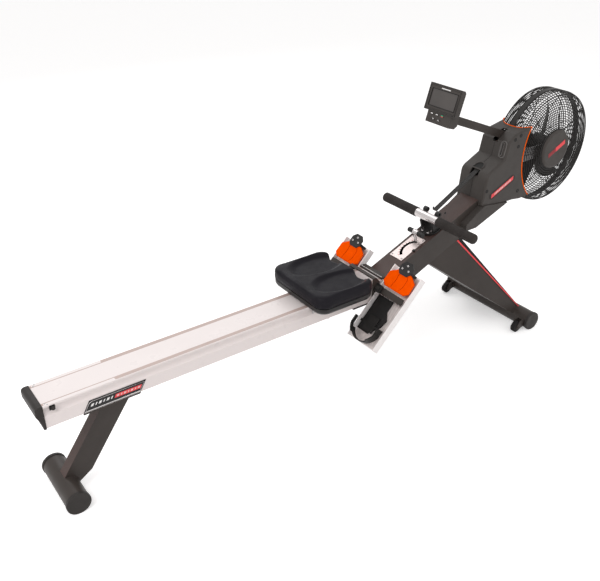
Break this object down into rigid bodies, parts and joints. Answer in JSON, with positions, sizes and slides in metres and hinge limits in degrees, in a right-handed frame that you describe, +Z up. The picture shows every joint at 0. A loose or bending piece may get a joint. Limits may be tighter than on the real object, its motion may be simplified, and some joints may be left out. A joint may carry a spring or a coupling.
{
  "type": "rowing machine",
  "caption": "Indoor rowing machine: sliding seat on a straight rail, pivoting footplates, strap-pulled handle, caged air fan and a folding monitor arm.",
  "frame": {"origin": "on the floor, at the middle of the machine's length and width", "axes": "+X along the rail from its rear end towards the fan, +Y to the left of a rower who faces the fan, +Z up"},
  "size_m": [2.43, 0.49, 1.0566],
  "materials": {
    "white_metal": "satin white powder coat",
    "dark_metal": "satin dark grey powder coat",
    "bright_steel": "polished",
    "steel": "brushed",
    "track_steel": "ground running strip",
    "alloy": "cast and machined",
    "plate_grey": "anodised",
    "shell_plastic": "smooth moulding",
    "black_plastic": "fine grain",
    "white_plastic": "smooth moulding",
    "orange_trim": "smooth",
    "orange_pad": "coated cloth over foam",
    "wire": "powder coated wire",
    "fan_plastic": "smooth moulding",
    "rubber_black": "matt",
    "tyre_black": "treaded",
    "nylon": "smooth",
    "seat_foam": "soft skin over foam",
    "webbing": "flat woven strap",
    "grip_foam": "closed cell foam",
    "screen_glass": "display window",
    "key_white": "soft key",
    "key_green": "soft key",
    "key_red": "soft key"
  },
  "bodies": {
    "frame": {"rail": "white_metal", "track_strips": "track_steel", "rear_end_cap": "black_plastic", "badge_plates": "plate_grey", "rear_leg": "dark_metal", "rear_foot_tube": "dark_metal", "rear_foot_caps": "black_plastic", "joint_plate": "dark_metal", "frame_bolts": "bright_steel", "main_frame": "dark_metal", "front_leg": "dark_metal", "front_foot_tube": "dark_metal", "front_foot_caps": "black_plastic", "wheel_brackets": "dark_metal", "footplate_right": "white_metal", "footplate_left": "white_metal", "foot_beds": "rubber_black", "foot_crossbar": "dark_metal", "footrest_tube": "dark_metal", "toe_pads": "orange_pad", "toe_brackets": "black_plastic", "handle_strap": "webbing", "handle_cradle": "black_plastic", "scale_plate": "alloy", "cage_rim": "wire", "cage_right": "wire", "cage_left": "wire", "hub_caps": "shell_plastic", "fan_axle": "steel", "fan_fork": "steel", "arm_bracket": "steel", "drive_belt": "rubber_black", "housing_right": "shell_plastic", "housing_left": "shell_plastic", "housing_trim": "orange_trim", "housing_screws": "black_plastic", "side_fairings": "shell_plastic"},
    "seat": {"seat_pad": "seat_foam", "seat_pan": "black_plastic", "seat_carriage": "steel"},
    "rollers_rear": {"rollers_rear": "nylon"},
    "rollers_front": {"rollers_front": "nylon"},
    "handle": {"handle_bar": "steel", "handle_sleeve": "bright_steel", "handle_grips": "grip_foam"},
    "drum": {"strap_drum": "nylon"},
    "lever": {"resistance_lever": "black_plastic"},
    "heel_left": {"heel_cup_left": "black_plastic"},
    "heel_right": {"heel_cup_right": "black_plastic"},
    "wheel_left": {"wheel_left": "tyre_black"},
    "wheel_right": {"wheel_right": "tyre_black"},
    "fan": {"fan_wheel": "fan_plastic"},
    "arm": {"monitor_arm": "dark_metal"},
    "monitor": {"monitor_case": "shell_plastic", "monitor_screen": "screen_glass"},
    "key_reset": {"key_reset": "key_white"},
    "key_recall": {"key_recall": "key_white"},
    "key_start": {"key_start": "key_green"},
    "key_down": {"key_down": "key_white"},
    "key_up": {"key_up": "key_white"}
  },
  "joints": [
    {"name": "seat_slide", "type": "slide", "parent": "frame", "child": "seat", "axis": [1, 0, 0], "range_m": [-0.86, 0.05]},
    {"name": "rollers_rear_spin", "type": "hinge", "parent": "seat", "child": "rollers_rear", "pos_m": [-0.211, 0, 0.4111], "axis": [0, 1, 0], "range_deg": [-4500, 320]},
    {"name": "rollers_front_spin", "type": "hinge", "parent": "seat", "child": "rollers_front", "pos_m": [-0.067, 0, 0.4111], "axis": [0, 1, 0], "range_deg": [-4500, 320]},
    {"name": "handle_pull", "type": "slide", "parent": "frame", "child": "handle", "axis": [-0.995, 0, 0.0998], "range_m": [0, 1.1], "deforming": ["handle_strap"]},
    {"name": "drum_turn", "type": "hinge", "parent": "frame", "child": "drum", "pos_m": [0.71981, 0, 0.71452], "axis": [0, 1, 0], "range_deg": [-2110, 5]},
    {"name": "lever_swing", "type": "hinge", "parent": "frame", "child": "lever", "pos_m": [0.2718, -0.035, 0.45386], "axis": [-0.3907, 0, 0.9205], "range_deg": [0, 100]},
    {"name": "heel_left_slide", "type": "slide", "parent": "frame", "child": "heel_left", "axis": [0.6947, 0, 0.7193], "range_m": [0, 0.05]},
    {"name": "heel_right_slide", "type": "slide", "parent": "frame", "child": "heel_right", "axis": [0.6947, 0, 0.7193], "range_m": [0, 0.05]},
    {"name": "wheel_left_spin", "type": "hinge", "parent": "frame", "child": "wheel_left", "pos_m": [0.745, 0.205, 0.024], "axis": [0, 1, 0], "continuous": true},
    {"name": "wheel_right_spin", "type": "hinge", "parent": "frame", "child": "wheel_right", "pos_m": [0.745, -0.205, 0.024], "axis": [0, 1, 0], "continuous": true},
    {"name": "fan_spin", "type": "hinge", "parent": "frame", "child": "fan", "pos_m": [0.9865, 0, 0.72503], "axis": [0, 1, 0], "continuous": true},
    {"name": "arm_lift", "type": "hinge", "parent": "frame", "child": "arm", "pos_m": [0.74, 0, 0.81403], "axis": [0, 1, 0], "range_deg": [0, 60]},
    {"name": "monitor_tilt", "type": "hinge", "parent": "arm", "child": "monitor", "pos_m": [0.44599, 0, 0.92985], "axis": [0, 1, 0], "range_deg": [-20, 40]},
    {"name": "key_reset_press", "type": "slide", "parent": "monitor", "child": "key_reset", "axis": [0.9558, 0, -0.294], "range_m": [0, 0.0015], "stiffness_N_per_m": 400},
    {"name": "key_recall_press", "type": "slide", "parent": "monitor", "child": "key_recall", "axis": [0.9558, 0, -0.294], "range_m": [0, 0.0015], "stiffness_N_per_m": 400},
    {"name": "key_start_press", "type": "slide", "parent": "monitor", "child": "key_start", "axis": [0.9558, 0, -0.294], "range_m": [0, 0.0015], "stiffness_N_per_m": 400},
    {"name": "key_down_press", "type": "slide", "parent": "monitor", "child": "key_down", "axis": [0.9558, 0, -0.294], "range_m": [0, 0.0015], "stiffness_N_per_m": 400},
    {"name": "key_up_press", "type": "slide", "parent": "monitor", "child": "key_up", "axis": [0.9558, 0, -0.294], "range_m": [0, 0.0015], "stiffness_N_per_m": 400}
  ],
  "couplings": [
    {"joint": "rollers_rear_spin", "follows": "seat_slide", "rad_per_m": 90.909},
    {"joint": "rollers_front_spin", "follows": "seat_slide", "rad_per_m": 90.909},
    {"joint": "drum_turn", "follows": "handle_pull", "rad_per_m": -33.333}
  ]
}
